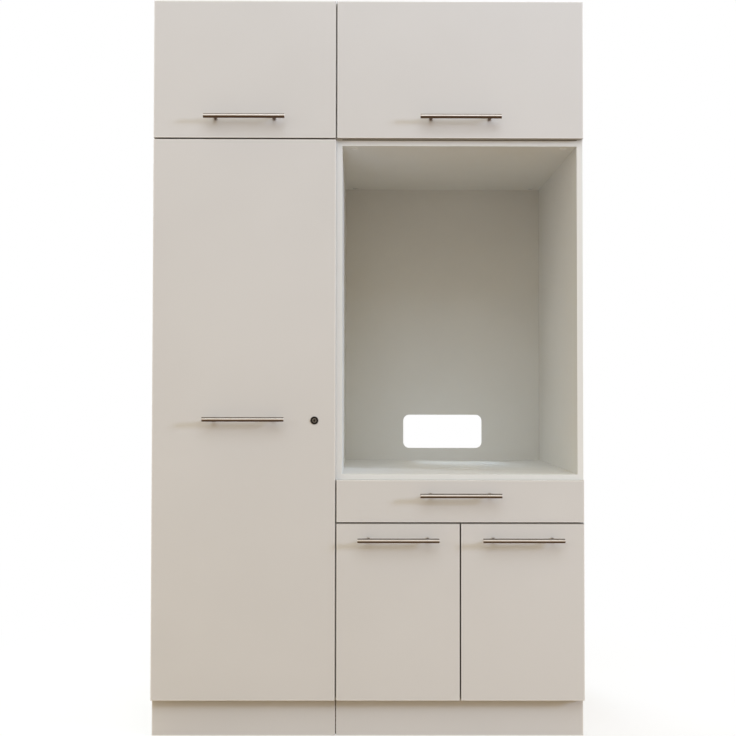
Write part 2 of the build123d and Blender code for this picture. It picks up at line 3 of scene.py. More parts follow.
import bmesh
import bpy
import numpy as np
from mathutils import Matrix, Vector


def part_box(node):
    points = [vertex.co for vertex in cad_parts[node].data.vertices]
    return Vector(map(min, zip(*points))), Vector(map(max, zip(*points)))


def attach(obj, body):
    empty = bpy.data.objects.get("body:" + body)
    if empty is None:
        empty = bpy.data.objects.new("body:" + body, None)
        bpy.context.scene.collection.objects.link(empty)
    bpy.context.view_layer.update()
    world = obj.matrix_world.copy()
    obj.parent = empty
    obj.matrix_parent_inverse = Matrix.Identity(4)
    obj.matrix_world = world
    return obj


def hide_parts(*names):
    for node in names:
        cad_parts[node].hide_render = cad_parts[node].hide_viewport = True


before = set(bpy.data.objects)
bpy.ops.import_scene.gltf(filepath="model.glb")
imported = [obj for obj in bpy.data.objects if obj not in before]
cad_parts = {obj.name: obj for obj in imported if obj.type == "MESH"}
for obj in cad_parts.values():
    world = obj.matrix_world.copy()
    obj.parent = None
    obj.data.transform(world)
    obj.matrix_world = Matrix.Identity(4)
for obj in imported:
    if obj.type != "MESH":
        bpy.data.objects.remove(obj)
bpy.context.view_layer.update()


# Fronts and plinth boards. Chipboard faced with warm grey melamine of a fine pearl structure.
# Every edge carries a band that meets the face in a hairline. The band is painted darker than the
# face as painted shade for the gaps, and a rim inside the outline is painted lighter as a painted
# highlight. Painted shade darkens the edges where two fronts meet, standing in for the gap's shadow.

grey_tone = (0.662, 0.643, 0.618, 1.0)
grey_other = (0.684, 0.665, 0.640, 1.0)
grey_fleck_and_painted_highlight = (0.860, 0.835, 0.800, 1.0)
grey_band_painted_shade = (0.400, 0.372, 0.335, 1.0)
grey_seam = (0.500, 0.470, 0.430, 1.0)
grey_painted_gap_shade = (0.150, 0.135, 0.110, 1.0)
band_thickness = 0.001
seam_width = 0.00016
rim_width = 0.0042
painted_shade_share = 0.9
painted_shade_sides = (("left", 0, 0.0013), ("right", 0, 0.0013), ("below", 2, 0.0010), ("above", 2, 0.0024))
below_all = -2.0
above_all = 3.0
palm_reach = (0.03, 0.16)


def put(tree, kind, inputs=None, **settings):
    """Add a shader node. An input takes a number, a colour, a vector or another node's socket."""
    made = tree.nodes.new("ShaderNode" + kind)
    for setting, value in settings.items():
        setattr(made, setting, value)
    for label, value in (inputs or {}).items():
        if isinstance(value, bpy.types.NodeSocket):
            tree.links.new(value, made.inputs[label])
        else:
            made.inputs[label].default_value = value
    return made


def maths(tree, operation, *values):
    """One sum on numbers that change over the surface."""
    return put(tree, "Math", dict(enumerate(values)), operation=operation).outputs[0]


def vectors(tree, operation, *values):
    """One sum on vectors that change over the surface."""
    return put(tree, "VectorMath", dict(enumerate(values)), operation=operation).outputs[0]


def ramp(tree, value, start, end, low=0.0, high=1.0):
    """Low before start, high after end, and an S-curve between them."""
    inputs = {"Value": value, "From Min": start, "From Max": end, "To Min": low, "To Max": high}
    return put(tree, "MapRange", inputs, interpolation_type="SMOOTHSTEP").outputs[0]


def tint(tree, share, first, second):
    """The first colour where share is 0, and the second where it is 1."""
    inputs = {0: share, 6: first, 7: second}
    return put(tree, "Mix", inputs, data_type="RGBA").outputs[2]


def noise(tree, place, scale, detail=2.0, rough=0.5):
    """Cloudy noise from 0 to 1 at a place."""
    inputs = {"Vector": place, "Scale": scale, "Detail": detail, "Roughness": rough}
    return put(tree, "TexNoise", inputs).outputs[0]


def on_object(tree, output="Object"):
    """The point in metres, or with Normal the way the surface faces, in the piece's own frame."""
    return put(tree, "TexCoord").outputs[output]


def start_group(label, given, results):
    """A node group with named sockets. A default of four numbers is a colour, of three a vector."""
    group = bpy.data.node_groups.new(label, "ShaderNodeTree")
    kinds = {3: "NodeSocketVector", 4: "NodeSocketColor"}
    for name, start in given.items():
        kind = kinds[len(start)] if isinstance(start, tuple) else "NodeSocketFloat"
        group.interface.new_socket(name, in_out="INPUT", socket_type=kind).default_value = start
    for name, kind in results.items():
        group.interface.new_socket(name, in_out="OUTPUT", socket_type="NodeSocket" + kind)
    return group, group.nodes.new("NodeGroupInput").outputs, group.nodes.new("NodeGroupOutput").inputs


def use(tree, group, **values):
    """Place a group in a material with its own values, and give its outputs."""
    placed = put(tree, "Group", node_tree=group)
    for name, value in values.items():
        if isinstance(value, bpy.types.NodeSocket):
            tree.links.new(value, placed.inputs[name])
        else:
            placed.inputs[name].default_value = value
    return placed.outputs


def new_finish(label, **fixed):
    """A material with one Principled shader, and the fixed values set on the shader's own sockets."""
    finish = bpy.data.materials.new(label)
    finish.use_nodes = True
    tree = finish.node_tree
    shader = tree.nodes["Principled BSDF"]
    for name, value in fixed.items():
        shader.inputs[name.replace("_", " ")].default_value = value
    return finish, tree, shader


def feed(tree, shader, colour=None, roughness=None, height=None, depth=0.00002):
    """Connect the surface's colour, roughness and relief to the shader."""
    if colour is not None:
        tree.links.new(colour, shader.inputs["Base Color"])
    if roughness is not None:
        tree.links.new(roughness, shader.inputs["Roughness"])
    if height is not None:
        bump = put(tree, "Bump", {"Height": height, "Strength": 1.0, "Distance": depth})
        tree.links.new(bump.outputs["Normal"], shader.inputs["Normal"])


def dress(finish, *nodes):
    """Give CAD nodes a finish."""
    for node in nodes:
        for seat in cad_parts[node].material_slots:
            seat.material = finish


# Tone drift: two close tones share the surface in soft clouds of a given size
tone_drift, given, result = start_group(
    "Tone drift", {"Tone": grey_tone, "Other": grey_other, "Scale": 2.0}, {"Colour": "Color"})
cloud = noise(tone_drift, on_object(tone_drift), given["Scale"], 3.0, 0.55)
shared = tint(tone_drift, ramp(tone_drift, cloud, 0.33, 0.67), given["Tone"], given["Other"])
tone_drift.links.new(shared, result["Colour"])

# Pearl skin: round pearls a millimetre across under a soft ripple, and slow patches of gloss
pearl_skin, given, result = start_group(
    "Pearl skin", {"Grain": 900.0}, {"Height": "Float", "Gloss": "Float"})
spot = on_object(pearl_skin)
pearls = put(pearl_skin, "TexVoronoi", {"Vector": spot, "Scale": given["Grain"]},
             feature="SMOOTH_F1").outputs["Distance"]
ripple = noise(pearl_skin, spot, 160.0, 2.0)
relief = maths(pearl_skin, "MULTIPLY_ADD", ripple, 1.4, pearls)
pearl_skin.links.new(relief, result["Height"])
patches = ramp(pearl_skin, noise(pearl_skin, spot, 5.5, 5.0, 0.6), 0.3, 0.72)
pearl_skin.links.new(patches, result["Gloss"])

# Edge line: a hairline at a set distance inside the box from Low to High, and a rim mask at its edges
# that the fronts use for a painted highlight
edge_line, given, result = start_group(
    "Edge line",
    {"Low": (0.0, 0.0, 0.0), "High": (1.0, 1.0, 1.0), "Inset": band_thickness, "Width": seam_width},
    {"Line": "Float", "Rim": "Float"})
spot = on_object(edge_line)
from_low = vectors(edge_line, "SUBTRACT", spot, given["Low"])
from_high = vectors(edge_line, "SUBTRACT", given["High"], spot)
nearest = vectors(edge_line, "MINIMUM", from_low, from_high)
sides = put(edge_line, "SeparateXYZ", {0: nearest}).outputs
distance = maths(edge_line, "MINIMUM", maths(edge_line, "MINIMUM", sides[0], sides[1]), sides[2])
off_line = maths(edge_line, "ABSOLUTE", maths(edge_line, "SUBTRACT", distance, given["Inset"]))
line = ramp(edge_line, maths(edge_line, "DIVIDE", off_line, given["Width"]), 0.4, 1.0, 1.0, 0.0)
edge_line.links.new(line, result["Line"])
rim = ramp(edge_line, distance, 0.0, rim_width, 1.0, 0.0)
edge_line.links.new(rim, result["Rim"])


def grey_front(node, touched=None, meets="", up_to=above_all):
    """The finish of one front. The seam lies a band's thickness inside its outline, the bands are
    painted darker than the face as painted shade, their rounded edges are painted lighter as a
    painted highlight, and the face is a little smoother where hands touch it, fading over a palm's
    width from that point. On the sides where it meets another front, the upright ones up to a
    height, painted shade darkens the rounded edge, standing in for the shadow in the gap."""
    low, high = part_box(node)
    finish, tree, shader = new_finish("warm_grey_" + node, Specular_IOR_Level=0.42)
    tone = use(tree, tone_drift, Tone=grey_tone, Other=grey_other, Scale=1.7)["Colour"]
    fleck = ramp(tree, noise(tree, on_object(tree), 420.0, 3.0, 0.7), 0.62, 0.80, 0.0, 0.10)
    tone = tint(tree, fleck, tone, grey_fleck_and_painted_highlight)
    edge = use(tree, edge_line, Low=(low.x, -1.0, low.z), High=(high.x, 1.0, high.z))
    tone = tint(tree, maths(tree, "MULTIPLY", edge["Line"], 0.55), tone, grey_seam)
    # Painted highlight: a lighter rim along the outline, standing in for light caught by the rounded
    # edges.
    tone = tint(tree, maths(tree, "MULTIPLY", edge["Rim"], 0.75), tone, grey_fleck_and_painted_highlight)
    # Painted shade: a dark line on the rounded edges that face another front, standing in for the shadow
    # in the gap.
    above_floor = put(tree, "SeparateXYZ", {0: on_object(tree)}).outputs[2]
    here = maths(tree, "MULTIPLY", maths(tree, "LESS_THAN", above_floor, up_to), painted_shade_share)
    for side, axis, width in painted_shade_sides:
        if side in meets:
            near, far = [below_all] * 3, [above_all] * 3
            bound, corner = (near, low) if side in ("left", "below") else (far, high)
            bound[axis] = corner[axis]
            gap = use(tree, edge_line, Low=tuple(near), High=tuple(far), Inset=0.0, Width=width)
            tone = tint(tree, maths(tree, "MULTIPLY", gap["Line"], here), tone, grey_painted_gap_shade)
    # Painted shade: faces that don't face front or back take a darker tone, standing in for the shade in
    # the gaps between fronts.
    ahead = put(tree, "SeparateXYZ", {0: on_object(tree, "Normal")}).outputs[1]
    tone = tint(tree, ramp(tree, maths(tree, "ABSOLUTE", ahead), 0.15, 0.55, 1.0, 0.0), tone, grey_band_painted_shade)
    skin = use(tree, pearl_skin, Grain=850.0)
    rough = maths(tree, "MULTIPLY_ADD", skin["Gloss"], 0.10, 0.36)
    if touched:
        away = put(tree, "VectorMath", {0: on_object(tree), 1: touched}, operation="DISTANCE")
        palm = ramp(tree, away.outputs["Value"], *palm_reach, 1.0, 0.0)
        smear = maths(tree, "MULTIPLY", palm, noise(tree, on_object(tree), 38.0, 4.0, 0.65))
        rough = maths(tree, "MULTIPLY_ADD", smear, -0.12, rough)
    feed(tree, shader, tone, rough, skin["Height"], 0.000012)
    return finish


for front, handle, meets in (("tall_door", "tall_door_handle", "right"),
                             ("left_door", "left_door_handle", "left right above"),
                             ("right_door", "right_door_handle", "left above"),
                             ("drawer_front", "drawer_handle", "left below"),
                             ("left_flap", "left_flap_handle", "right"),
                             ("right_flap", "right_flap_handle", "left")):
    bar_low, bar_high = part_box(handle)
    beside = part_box("drawer_front")[1].z if front == "tall_door" else above_all
    dress(grey_front(front, tuple((bar_low + bar_high) / 2), meets, beside), front)
dress(grey_front("plinth_boards"), "plinth_boards")


# White boards of the carcass and the drawer. Chipboard faced with white melamine; only the front
# edges are banded, so the other edges and the drilled holes show the pressed wood chips.

white_tone = (0.790, 0.786, 0.750, 1.0)
white_other = (0.808, 0.804, 0.772, 1.0)
chip_light = (0.620, 0.470, 0.300, 1.0)
chip_dark = (0.300, 0.185, 0.095, 1.0)
dust_tone = (0.560, 0.530, 0.480, 1.0)
band_end_tone = (0.50, 0.48, 0.44, 1.0)
sliver = 0.0005
side_joint_reach = 0.0002
deck_joint_reach = 0.0012
deck_joint_rise = 0.00045
joint_fade = 0.0003

# Chip core: flakes of light and dark wood where the surface doesn't face along Skin and lies
# further back than Banded
chip_core, given, result = start_group(
    "Chip core", {"Skin": (0.0, 0.0, 1.0), "Banded": 0.0},
    {"Bare": "Float", "Colour": "Color", "Height": "Float"})
facing = put(chip_core, "VectorMath", {0: on_object(chip_core, "Normal"), 1: given["Skin"]},
             operation="DOT_PRODUCT").outputs["Value"]
edgewise = maths(chip_core, "LESS_THAN", maths(chip_core, "ABSOLUTE", facing), 0.5)
place = on_object(chip_core)
depth_y = put(chip_core, "SeparateXYZ", {0: place}).outputs[1]
behind = maths(chip_core, "GREATER_THAN", depth_y, given["Banded"])
chip_core.links.new(maths(chip_core, "MULTIPLY", edgewise, behind), result["Bare"])
bent = put(chip_core, "TexNoise", {"Vector": place, "Scale": 60.0, "Detail": 2.0}).outputs["Color"]
strewn = vectors(chip_core, "MULTIPLY_ADD", bent, (0.004, 0.004, 0.004), place)
flakes = put(chip_core, "TexVoronoi", {"Vector": strewn, "Scale": 480.0})
shade = put(chip_core, "SeparateColor", {0: flakes.outputs["Color"]}).outputs[0]
chip_core.links.new(tint(chip_core, ramp(chip_core, shade, 0.1, 0.9), chip_light, chip_dark),
                    result["Colour"])
chip_core.links.new(maths(chip_core, "MULTIPLY", flakes.outputs["Distance"], 2.0), result["Height"])

# Settled dust: a thin grey film in patches on whatever faces up
settled_dust, given, result = start_group("Settled dust", {"Amount": 0.3}, {"Dust": "Float"})
upward = put(settled_dust, "SeparateXYZ", {0: on_object(settled_dust, "Normal")}).outputs[2]
lying = ramp(settled_dust, upward, 0.6, 0.95)
patchy = ramp(settled_dust, noise(settled_dust, on_object(settled_dust), 9.0, 6.0, 0.7), 0.35, 0.75)
dust_film_and_painted_shade = maths(settled_dust, "MULTIPLY", lying, patchy)
settled_dust.links.new(maths(settled_dust, "MULTIPLY", dust_film_and_painted_shade, given["Amount"]), result["Dust"])


def white_board(label, skin, banded, joint=below_all, joint_reach=0.0):
    """White melamine on the two faces along skin, bare chips on edges further back than banded,
    a hairline where the band ends, and dust on top. Painted shade darkens the joint between stacked
    boards, at a height, as far as its reach above and below, standing in for the shadow in the seam."""
    finish, tree, shader = new_finish("white_" + label, Specular_IOR_Level=0.40)
    tone = use(tree, tone_drift, Tone=white_tone, Other=white_other, Scale=2.3)["Colour"]
    dust = use(tree, settled_dust, Amount=0.16)["Dust"]
    tone = tint(tree, dust, tone, dust_tone)
    axes = put(tree, "SeparateXYZ", {0: on_object(tree)}).outputs
    # Painted shade: a dark strip along the joint between the stacked units.
    off_joint = maths(tree, "ABSOLUTE", maths(tree, "SUBTRACT", axes[2], joint))
    joint_painted_shade = ramp(tree, off_joint, joint_reach, joint_reach + joint_fade, painted_shade_share, 0.0)
    tone = tint(tree, joint_painted_shade, tone, grey_painted_gap_shade)
    off_band = maths(tree, "ABSOLUTE", maths(tree, "SUBTRACT", axes[1], banded))
    tone = tint(tree, ramp(tree, off_band, 0.00004, 0.00012, 0.45, 0.0), tone, band_end_tone)
    core = use(tree, chip_core, Skin=skin, Banded=banded)
    tone = tint(tree, core["Bare"], tone, core["Colour"])
    skin_relief = use(tree, pearl_skin, Grain=780.0)
    rough = maths(tree, "MULTIPLY_ADD", skin_relief["Gloss"], 0.12, 0.38)
    rough = maths(tree, "MULTIPLY_ADD", core["Bare"], 0.45, rough)
    rough = maths(tree, "MULTIPLY_ADD", dust, 0.8, rough)
    relief = maths(tree, "MULTIPLY_ADD", core["Bare"], core["Height"], skin_relief["Height"])
    feed(tree, shader, tone, rough, relief, 0.00002)
    return finish


upright = (1.0, 0.0, 0.0)
level = (0.0, 0.0, 1.0)
across = (0.0, 1.0, 0.0)
front_of_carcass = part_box("niche_floor")[0].y + sliver
front_of_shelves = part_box("adjustable_shelves")[0].y + sliver
rear_of_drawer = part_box("drawer_sides")[1].y - sliver
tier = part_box("upper_bottoms")[0].z
dress(white_board("sides", upright, front_of_carcass, tier, side_joint_reach),
      "tall_side_left", "tall_side_right", "wide_side_left", "wide_side_right", "upper_sides")
dress(white_board("decks", level, front_of_carcass, tier + deck_joint_rise, deck_joint_reach),
      "tall_bottom", "tall_top", "wide_bottom", "niche_floor", "niche_ceiling", "upper_bottoms",
      "upper_tops", "drawer_rail")
dress(white_board("shelves", level, front_of_shelves), "tall_fixed_shelf", "adjustable_shelves")
dress(white_board("drawer_sides", upright, rear_of_drawer), "drawer_sides")
dress(white_board("drawer_back", across, rear_of_drawer), "drawer_back")


# Backs and the drawer's base. Thin hardboard, lacquered white on the side that is seen, with the
# brown print of the press screen on the other. The backs are nailed into the rebates.

lacquer_tone = (0.730, 0.726, 0.690, 1.0)
lacquer_other = (0.705, 0.700, 0.662, 1.0)
fibre_tone = (0.330, 0.205, 0.112, 1.0)
fibre_other = (0.292, 0.176, 0.092, 1.0)
fibre_light = (0.470, 0.330, 0.200, 1.0)
fibre_dark = (0.140, 0.075, 0.035, 1.0)
screen_pitch = 0.0016
joint_width = 0.0012


def solids_of(node):
    """The box round each solid of a CAD node. Corners that share a place get one number, and the
    lowest number spreads over every triangle until nothing changes."""
    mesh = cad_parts[node].data
    places = np.empty(3 * len(mesh.vertices))
    corners = np.empty(len(mesh.loops), int)
    mesh.vertices.foreach_get("co", places)
    mesh.loops.foreach_get("vertex_index", corners)
    places = places.reshape(-1, 3)
    shared, number = np.unique(np.round(places, 5), axis=0, return_inverse=True)
    triangles = number.ravel()[corners.reshape(-1, 3)]
    label, spread = np.arange(len(shared)), None
    while spread is None or (spread != label).any():
        label = label if spread is None else spread
        spread = label.copy()
        for corner in range(3):
            np.minimum.at(spread, triangles[:, corner], label[triangles].min(axis=1))
    own = label[number.ravel()]
    groups = [places[own == each] for each in np.unique(own)]
    return [(group.min(axis=0), group.max(axis=0)) for group in groups]


def hardboard(node, seen, first, second):
    """White lacquer where the surface faces along seen. Elsewhere brown fibre with the print of a
    woven screen: the product of two sine waves, one along each axis, at the screen's pitch. The
    sawn edge of each sheet is darker, so that joints between sheets show."""
    finish, tree, shader = new_finish("hardboard_" + node, Specular_IOR_Level=0.35)
    facing = put(tree, "VectorMath", {0: on_object(tree, "Normal"), 1: seen},
                 operation="DOT_PRODUCT").outputs["Value"]
    coated = maths(tree, "GREATER_THAN", facing, 0.5)
    white = use(tree, tone_drift, Tone=lacquer_tone, Other=lacquer_other, Scale=3.1)["Colour"]
    brown = use(tree, tone_drift, Tone=fibre_tone, Other=fibre_other, Scale=14.0)["Colour"]
    lint = ramp(tree, noise(tree, on_object(tree), 700.0, 5.0, 0.8), 0.50, 0.75, 0.0, 0.6)
    brown = tint(tree, lint, brown, fibre_light)
    axes = put(tree, "SeparateXYZ", {0: on_object(tree)}).outputs
    turns = math.tau / screen_pitch
    warp = maths(tree, "SINE", maths(tree, "MULTIPLY", axes[first], turns))
    weft = maths(tree, "SINE", maths(tree, "MULTIPLY", axes[second], turns))
    screen = maths(tree, "MULTIPLY", warp, weft)
    pressed = maths(tree, "SUBTRACT", 1.0, coated)
    brown = tint(tree, ramp(tree, screen, -0.9, 0.9, 0.30, 0.0), brown, fibre_dark)
    skin = use(tree, pearl_skin, Grain=600.0)
    relief = maths(tree, "MULTIPLY_ADD", maths(tree, "MULTIPLY", screen, pressed), 2.5, skin["Height"])
    rough = maths(tree, "MULTIPLY_ADD", skin["Gloss"], 0.1, 0.42)
    rough = maths(tree, "MULTIPLY_ADD", pressed, 0.36, rough)
    tone = tint(tree, coated, brown, white)
    through = 3 - first - second
    for low, high in solids_of(node):
        low[through], high[through] = below_all, above_all
        edge = use(tree, edge_line, Low=tuple(low), High=tuple(high), Inset=joint_width / 3,
                   Width=joint_width)
        tone = tint(tree, maths(tree, "MULTIPLY", edge["Line"], 0.75), tone, fibre_dark)
    feed(tree, shader, tone, rough, relief, 0.00004)
    return finish


for back in ("tall_backs", "wide_lower_back", "niche_back", "upper_backs"):
    dress(hardboard(back, (0.0, -1.0, 0.0), 0, 2), back)
dress(hardboard("drawer_base", (0.0, 0.0, 1.0), 0, 1), "drawer_base")


# Bar handles. Stainless steel bars on two coped posts, brushed lengthwise with a fine belt. The
# underside and a strip along the top carry painted shade in dark brown tones, standing in for the dark
# reflections there.

steel_tone = (0.770, 0.715, 0.660, 1.0)
steel_other = (0.710, 0.655, 0.600, 1.0)
steel_painted_underside_shade = (0.135, 0.088, 0.060, 1.0)
steel_painted_top_shade = (0.180, 0.155, 0.138, 1.0)

# Brushing: long streaks that vary fast along the axes with large numbers in Along
brushing, given, result = start_group(
    "Brushing", {"Along": (900.0, 20.0, 20.0)}, {"Height": "Float", "Streak": "Float"})
drawn = vectors(brushing, "MULTIPLY", on_object(brushing), given["Along"])
lines = noise(brushing, drawn, 1.0, 4.0, 0.65)
brushing.links.new(lines, result["Height"])
brushing.links.new(ramp(brushing, lines, 0.32, 0.68), result["Streak"])

# Scuffs: sparse thin scratches in two slanting directions
scuffs, given, result = start_group("Scuffs", {"Amount": 0.5}, {"Scuff": "Float"})
spot = on_object(scuffs)
marks = []
for turn, stretch in ((0.6, (30.0, 900.0, 900.0)), (-0.9, (22.0, 700.0, 700.0))):
    laid = put(scuffs, "Mapping", {"Vector": spot, "Rotation": (turn, turn, turn), "Scale": stretch})
    marks.append(ramp(scuffs, noise(scuffs, laid.outputs[0], 1.0, 1.0), 0.70, 0.76))
both = maths(scuffs, "MAXIMUM", *marks)
scuffs.links.new(maths(scuffs, "MULTIPLY", both, given["Amount"]), result["Scuff"])


def metal(label, tone, other, smooth, rough, along, size=25.0, depth=0.000006, dust_film_and_painted_shade=None,
          recess=None, **fixed):
    """Bare metal: two tones in clouds, brushed streaks that set the roughness between smooth and
    rough, scratches, painted shade of two tones under and over the piece where asked, standing in for
    dark reflections, and painted shade in recesses by the piece's own depth."""
    finish, tree, shader = new_finish(label, Metallic=1.0, **fixed)
    colour = use(tree, tone_drift, Tone=tone, Other=other, Scale=size)["Colour"]
    grain = use(tree, brushing, Along=along)
    colour = tint(tree, maths(tree, "MULTIPLY", grain["Streak"], 0.18), colour, other)
    worn = use(tree, scuffs, Amount=0.6)["Scuff"]
    # Painted shade: a dark brown tone on the underside and a darker tone on a strip along the top,
    # standing in for dark reflections.
    if dust_film_and_painted_shade:
        up = put(tree, "SeparateXYZ", {0: on_object(tree, "Normal")}).outputs[2]
        colour = tint(tree, ramp(tree, up, -0.30, 0.02, 1.0, 0.0), colour, dust_film_and_painted_shade[0])
        colour = tint(tree, ramp(tree, up, 0.34, 0.62), colour, dust_film_and_painted_shade[1])
    # Painted shade: recesses darken by their depth.
    if recess:
        sunk = put(tree, "Attribute", attribute_name="sunk").outputs["Fac"]
        colour = tint(tree, ramp(tree, sunk, 0.15, 0.9, 0.0, 0.85), colour, recess)
    spread = maths(tree, "MULTIPLY_ADD", grain["Streak"], rough - smooth, smooth)
    spread = maths(tree, "MULTIPLY_ADD", worn, 0.15, spread)
    height = maths(tree, "MULTIPLY_ADD", worn, -0.6, grain["Height"])
    feed(tree, shader, colour, spread, height, depth)
    return finish


stainless = metal("brushed_stainless", steel_tone, steel_other, 0.43, 0.49, (1400.0, 30.0, 30.0),
                  size=9.0, depth=0.0000015, dust_film_and_painted_shade=(steel_painted_underside_shade, steel_painted_top_shade))
dress(stainless, "tall_door_handle", "left_door_handle", "right_door_handle", "drawer_handle",
      "left_flap_handle", "right_flap_handle")


# Screws. Pressed steel heads with a cross recess, nickel plated, with painted shade in the recesses.
# Two hold each handle from behind its front; the hinges, struts, keeper and wall angles have their own
# below.

nickel_tone = (0.700, 0.680, 0.645, 1.0)
nickel_other = (0.600, 0.580, 0.550, 1.0)
painted_hollow_shade = (0.050, 0.046, 0.042, 1.0)


def ring_faces(rows, count, closed):
    """Four-sided faces between rings of count points each; a closed set joins last ring to first."""
    row, column = np.meshgrid(np.arange(rows if closed else rows - 1), np.arange(count), indexing="ij")
    next_row, next_column = (row + 1) % rows, (column + 1) % count
    corners = (row * count + column, row * count + next_column,
               next_row * count + next_column, next_row * count + column)
    return np.stack(corners, axis=-1).reshape(-1, 4)


def turned(profile, count, closed=False):
    """A profile of (radius, height) pairs turned round the height axis: the point of pair i at
    angle a is (r cos a, r sin a, h). A closed profile joins its last pair to its first."""
    radius, height = np.asarray(profile, float).T
    angle = np.arange(count) * math.tau / count
    wide = np.outer(radius, np.cos(angle))
    deep = np.outer(radius, np.sin(angle))
    points = np.stack([wide, deep, np.repeat(height[:, None], count, 1)], axis=-1).reshape(-1, 3)
    return points, ring_faces(len(radius), count, closed)


def set_down(shape, seats, outward, turn=0.0):
    """Copies of a small shape with its height axis along outward, one on each seat, each turned a
    little further than the last: seat + a u + b v + h n, where u, v and n are square to each other."""
    points, faces = shape
    seats = np.asarray(seats, float).reshape(-1, 3)
    n = np.asarray(outward, float) / np.linalg.norm(outward)
    u = np.cross((0.0, 0.0, 1.0) if abs(n[2]) < 0.9 else (1.0, 0.0, 0.0), n)
    u /= np.linalg.norm(u)
    v = np.cross(n, u)
    angle = turn * np.arange(len(seats))[:, None, None]
    a, b, h = points[None, :, 0:1], points[None, :, 1:2], points[None, :, 2:3]
    wide = a * np.cos(angle) - b * np.sin(angle)
    deep = a * np.sin(angle) + b * np.cos(angle)
    placed = seats[:, None, :] + wide * u + deep * v + h * n
    counted = faces[None] + len(points) * np.arange(len(seats))[:, None, None]
    return placed.reshape(-1, 3), counted.reshape(-1, faces.shape[1])


def together(*parts):
    """Several point and face arrays as one."""
    starts = np.cumsum([0] + [len(points) for points, faces in parts[:-1]])
    return (np.concatenate([points for points, faces in parts]),
            np.concatenate([faces + start for (points, faces), start in zip(parts, starts)]))


def close_seams(mesh):
    """Merge points that share a place, and turn the faces outward."""
    shell = bmesh.new()
    shell.from_mesh(mesh)
    bmesh.ops.remove_doubles(shell, verts=shell.verts, dist=1e-6)
    bmesh.ops.recalc_face_normals(shell, faces=shell.faces)
    shell.to_mesh(mesh)
    shell.free()


def finish_piece(name, shape, body, finish, sunk=None, crease=40.0):
    """A finished piece in place on its body, with sharp edges where faces turn more than crease."""
    points, faces = shape
    mesh = bpy.data.meshes.new(name)
    mesh.from_pydata(points.tolist(), [], faces.tolist())
    if sunk is not None:
        depth = mesh.attributes.new("sunk", "FLOAT", "POINT")
        depth.data.foreach_set("value", np.resize(sunk, len(points)).astype(np.float32))
    close_seams(mesh)
    mesh.shade_smooth()
    mesh.set_sharp_from_angle(angle=math.radians(crease))
    mesh.materials.append(finish)
    piece = bpy.data.objects.new(name, mesh)
    bpy.context.scene.collection.objects.link(piece)
    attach(piece, body)
    return piece


def cross_head(radius, rise, recess):
    """A screw head: the height at share s of the radius is rise * (1 - s^4), less a recess that is
    deepest in the middle and reaches out furthest every quarter turn, as the 6th power of cos 2a."""
    shares = np.array([0.0, 0.16, 0.34, 0.52, 0.72, 0.90, 1.0, 1.0, 0.0])
    heights = np.where(np.arange(9) < 7, rise * (0.35 + 0.65 * (1 - shares ** 4)), 0.0)
    points, faces = turned(np.stack([shares * radius, heights], axis=-1), 16)
    angle = np.arctan2(points[:, 1], points[:, 0])
    share = np.hypot(points[:, 0], points[:, 1]) / radius
    arm = 0.24 + 0.36 * np.cos(2 * angle) ** 6
    sunk = np.clip(1.3 * (1 - share / arm), 0, 1) * (points[:, 2] > 0)
    points[:, 2] -= recess * sunk
    return (points, faces), sunk


nickel_screw = metal("nickel_screw", nickel_tone, nickel_other, 0.20, 0.36, (500.0, 500.0, 500.0),
                     recess=painted_hollow_shade)
front_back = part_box("tall_door")[1].y
carcass_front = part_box("tall_side_left")[0].y
handle_screw, handle_sunk = cross_head(radius=0.0045, rise=0.0022, recess=0.0016)
post_spacing = 0.160
for body, node in (("tall_door", "tall_door_handle"), ("left_door", "left_door_handle"),
                   ("right_door", "right_door_handle"), ("drawer", "drawer_handle"),
                   ("left_flap", "left_flap_handle"), ("right_flap", "right_flap_handle")):
    bar_low, bar_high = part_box(node)
    bar_middle = (bar_low + bar_high) / 2
    seats = [(bar_middle.x + side * post_spacing / 2, front_back, bar_middle.z) for side in (-1, 1)]
    heads = set_down(handle_screw, seats, (0.0, 1.0, 0.0), 0.7)
    finish_piece(node + "_screws", heads, body, nickel_screw, handle_sunk)


# Nails of the backs. Blued wire nails with flat round heads, driven through the hardboard into the
# rebates of the side boards and into the decks and fixed shelves behind it.

blued_tone = (0.165, 0.170, 0.185, 1.0)
blued_other = (0.095, 0.092, 0.100, 1.0)
nail_step = 0.150
nail_inset = 0.004
end_margin = 0.060
nail_profile = [(0.0, 0.0), (0.0017, 0.0), (0.0017, 0.00018), (0.0014, 0.00032), (0.0, 0.00036)]
blued = metal("blued_nails", blued_tone, blued_other, 0.30, 0.50, (700.0, 700.0, 700.0), size=300.0)


def nail_row(start, end):
    """Evenly spaced seats from start to end, as close to the step as whole numbers allow."""
    start, end = np.array(start), np.array(end)
    count = max(2, int(round(np.linalg.norm(end - start) / nail_step)) + 1)
    return start + np.linspace(0.0, 1.0, count)[:, None] * (end - start)


